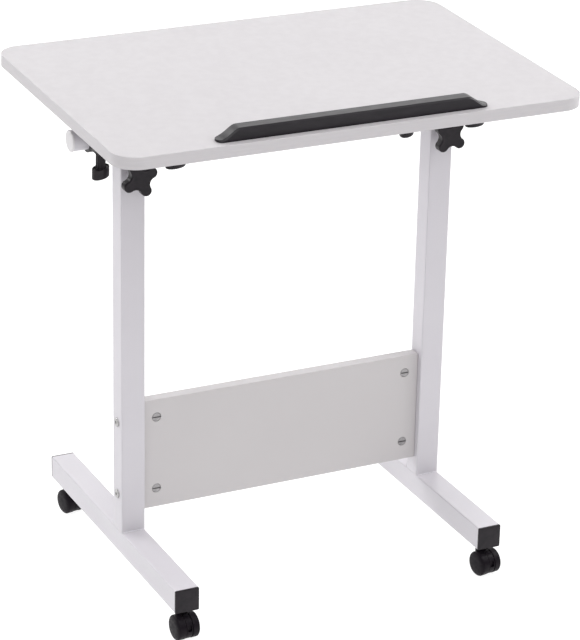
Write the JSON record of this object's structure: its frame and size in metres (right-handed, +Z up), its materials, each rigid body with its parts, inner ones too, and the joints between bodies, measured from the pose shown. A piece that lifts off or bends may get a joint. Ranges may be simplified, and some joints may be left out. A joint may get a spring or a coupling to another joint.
{
  "type": "tilting computer desk",
  "caption": "Small rolling desk: a tilting top with a book stopper, clamped to a crossbar on telescopic legs, over foot bars on casters joined by a lower panel.",
  "frame": {"origin": "on the floor, in the middle of the whole desk's width and depth with the top near level", "axes": "+Z up; +Y toward the back of the desk, away from the user and the stopper; +X to the user's right"},
  "size_m": [0.6, 0.4282, 0.6463],
  "materials": {
    "laminate": "white melamine on particle board, satin",
    "edging": "white plastic edge band, satin",
    "white_paint": "white powder coat on steel tube",
    "white_plastic": "white moulded plastic",
    "black_plastic": "black moulded plastic, fine grain",
    "black_nylon": "black nylon, smooth",
    "zinc": "bright zinc plate"
  },
  "bodies": {
    "base": {"lower_panel": "laminate", "upright_left": "white_paint", "guide_sleeve_left": "black_plastic", "knob_boss_left": "white_paint", "foot_bar_left": "white_paint", "foot_cap_front_left": "black_plastic", "foot_cap_rear_left": "black_plastic", "panel_bolt_lower_left": "zinc", "panel_bolt_upper_left": "zinc", "barrel_nut_lower_left": "zinc", "barrel_nut_upper_left": "zinc", "upright_right": "white_paint", "guide_sleeve_right": "black_plastic", "knob_boss_right": "white_paint", "foot_bar_right": "white_paint", "foot_cap_front_right": "black_plastic", "foot_cap_rear_right": "black_plastic", "panel_bolt_lower_right": "zinc", "panel_bolt_upper_right": "zinc", "barrel_nut_lower_right": "zinc", "barrel_nut_upper_right": "zinc"},
    "lift": {"crossbar": "white_paint", "crossbar_cap_left": "white_plastic", "crossbar_cap_right": "white_plastic", "inner_tube_left": "white_paint", "inner_tube_right": "white_paint"},
    "top": {"tabletop": "laminate", "edge_band": "edging", "stopper": "black_plastic", "clamp_bracket_left_outer": "black_plastic", "clamp_strap_left_outer": "black_plastic", "clamp_bracket_left_inner": "black_plastic", "clamp_strap_left_inner": "black_plastic", "clamp_bracket_right_inner": "black_plastic", "clamp_strap_right_inner": "black_plastic", "clamp_bracket_right_outer": "black_plastic", "clamp_strap_right_outer": "black_plastic"},
    "height_knob_left": {"height_knob_left": "black_plastic"},
    "height_knob_right": {"height_knob_right": "black_plastic"},
    "clamp_knob_left_outer": {"clamp_knob_left_outer": "black_plastic"},
    "clamp_knob_left_inner": {"clamp_knob_left_inner": "black_plastic"},
    "clamp_knob_right_inner": {"clamp_knob_right_inner": "black_plastic"},
    "clamp_knob_right_outer": {"clamp_knob_right_outer": "black_plastic"},
    "swivel_front_left": {"caster_hood_front_left": "black_nylon", "caster_axle_front_left": "zinc"},
    "wheel_front_left_a": {"caster_wheel_front_left_a": "black_nylon"},
    "wheel_front_left_b": {"caster_wheel_front_left_b": "black_nylon"},
    "swivel_front_right": {"caster_hood_front_right": "black_nylon", "caster_axle_front_right": "zinc"},
    "wheel_front_right_a": {"caster_wheel_front_right_a": "black_nylon"},
    "wheel_front_right_b": {"caster_wheel_front_right_b": "black_nylon"},
    "swivel_rear_left": {"caster_hood_rear_left": "black_nylon", "caster_axle_rear_left": "zinc"},
    "wheel_rear_left_a": {"caster_wheel_rear_left_a": "black_nylon"},
    "wheel_rear_left_b": {"caster_wheel_rear_left_b": "black_nylon"},
    "swivel_rear_right": {"caster_hood_rear_right": "black_nylon", "caster_axle_rear_right": "zinc"},
    "wheel_rear_right_a": {"caster_wheel_rear_right_a": "black_nylon"},
    "wheel_rear_right_b": {"caster_wheel_rear_right_b": "black_nylon"}
  },
  "joints": [
    {"name": "height_slide", "type": "slide", "parent": "base", "child": "lift", "axis": [0, 0, 1], "range_m": [0, 0.25]},
    {"name": "top_tilt", "type": "hinge", "parent": "lift", "child": "top", "pos_m": [0, -0.01443, 0.5865], "axis": [1, 0, 0], "range_deg": [-2, 58]},
    {"name": "height_knob_turn_left", "type": "hinge", "parent": "base", "child": "height_knob_left", "pos_m": [-0.207, -0.03318, 0.5405], "axis": [0, -1, 0], "range_deg": [0, 720]},
    {"name": "height_knob_turn_right", "type": "hinge", "parent": "base", "child": "height_knob_right", "pos_m": [0.207, -0.03318, 0.5405], "axis": [0, -1, 0], "range_deg": [0, 720]},
    {"name": "clamp_knob_turn_left_outer", "type": "hinge", "parent": "top", "child": "clamp_knob_left_outer", "pos_m": [-0.25, -0.03447, 0.5858], "axis": [0, 0.0349, -0.9994], "range_deg": [0, 720]},
    {"name": "clamp_knob_turn_left_inner", "type": "hinge", "parent": "top", "child": "clamp_knob_left_inner", "pos_m": [-0.1545, -0.03447, 0.5858], "axis": [0, 0.0349, -0.9994], "range_deg": [0, 720]},
    {"name": "clamp_knob_turn_right_inner", "type": "hinge", "parent": "top", "child": "clamp_knob_right_inner", "pos_m": [0.1545, -0.03447, 0.5858], "axis": [0, 0.0349, -0.9994], "range_deg": [0, 720]},
    {"name": "clamp_knob_turn_right_outer", "type": "hinge", "parent": "top", "child": "clamp_knob_right_outer", "pos_m": [0.25, -0.03447, 0.5858], "axis": [0, 0.0349, -0.9994], "range_deg": [0, 720]},
    {"name": "swivel_turn_front_left", "type": "hinge", "parent": "base", "child": "swivel_front_left", "pos_m": [-0.207, -0.17543, 0.0395], "axis": [0, 0, 1], "continuous": true},
    {"name": "wheel_spin_front_left_a", "type": "hinge", "parent": "swivel_front_left", "child": "wheel_front_left_a", "pos_m": [-0.20642, -0.18491, 0.016], "axis": [0.9981, 0.061, 0], "continuous": true},
    {"name": "wheel_spin_front_left_b", "type": "hinge", "parent": "swivel_front_left", "child": "wheel_front_left_b", "pos_m": [-0.20642, -0.18491, 0.016], "axis": [0.9981, 0.061, 0], "continuous": true},
    {"name": "swivel_turn_front_right", "type": "hinge", "parent": "base", "child": "swivel_front_right", "pos_m": [0.207, -0.17543, 0.0395], "axis": [0, 0, 1], "continuous": true},
    {"name": "wheel_spin_front_right_a", "type": "hinge", "parent": "swivel_front_right", "child": "wheel_front_right_a", "pos_m": [0.2084, -0.18482, 0.016], "axis": [0.989, 0.1478, 0], "continuous": true},
    {"name": "wheel_spin_front_right_b", "type": "hinge", "parent": "swivel_front_right", "child": "wheel_front_right_b", "pos_m": [0.2084, -0.18482, 0.016], "axis": [0.989, 0.1478, 0], "continuous": true},
    {"name": "swivel_turn_rear_left", "type": "hinge", "parent": "base", "child": "swivel_rear_left", "pos_m": [-0.207, 0.19407, 0.0395], "axis": [0, 0, 1], "continuous": true},
    {"name": "wheel_spin_rear_left_a", "type": "hinge", "parent": "swivel_rear_left", "child": "wheel_rear_left_a", "pos_m": [-0.20535, 0.18471, 0.016], "axis": [0.9848, 0.1736, 0], "continuous": true},
    {"name": "wheel_spin_rear_left_b", "type": "hinge", "parent": "swivel_rear_left", "child": "wheel_rear_left_b", "pos_m": [-0.20535, 0.18471, 0.016], "axis": [0.9848, 0.1736, 0], "continuous": true},
    {"name": "swivel_turn_rear_right", "type": "hinge", "parent": "base", "child": "swivel_rear_right", "pos_m": [0.207, 0.19407, 0.0395], "axis": [0, 0, 1], "continuous": true},
    {"name": "wheel_spin_rear_right_a", "type": "hinge", "parent": "swivel_rear_right", "child": "wheel_rear_right_a", "pos_m": [0.20832, 0.18466, 0.016], "axis": [0.9903, 0.1392, 0], "continuous": true},
    {"name": "wheel_spin_rear_right_b", "type": "hinge", "parent": "swivel_rear_right", "child": "wheel_rear_right_b", "pos_m": [0.20832, 0.18466, 0.016], "axis": [0.9903, 0.1392, 0], "continuous": true}
  ]
}
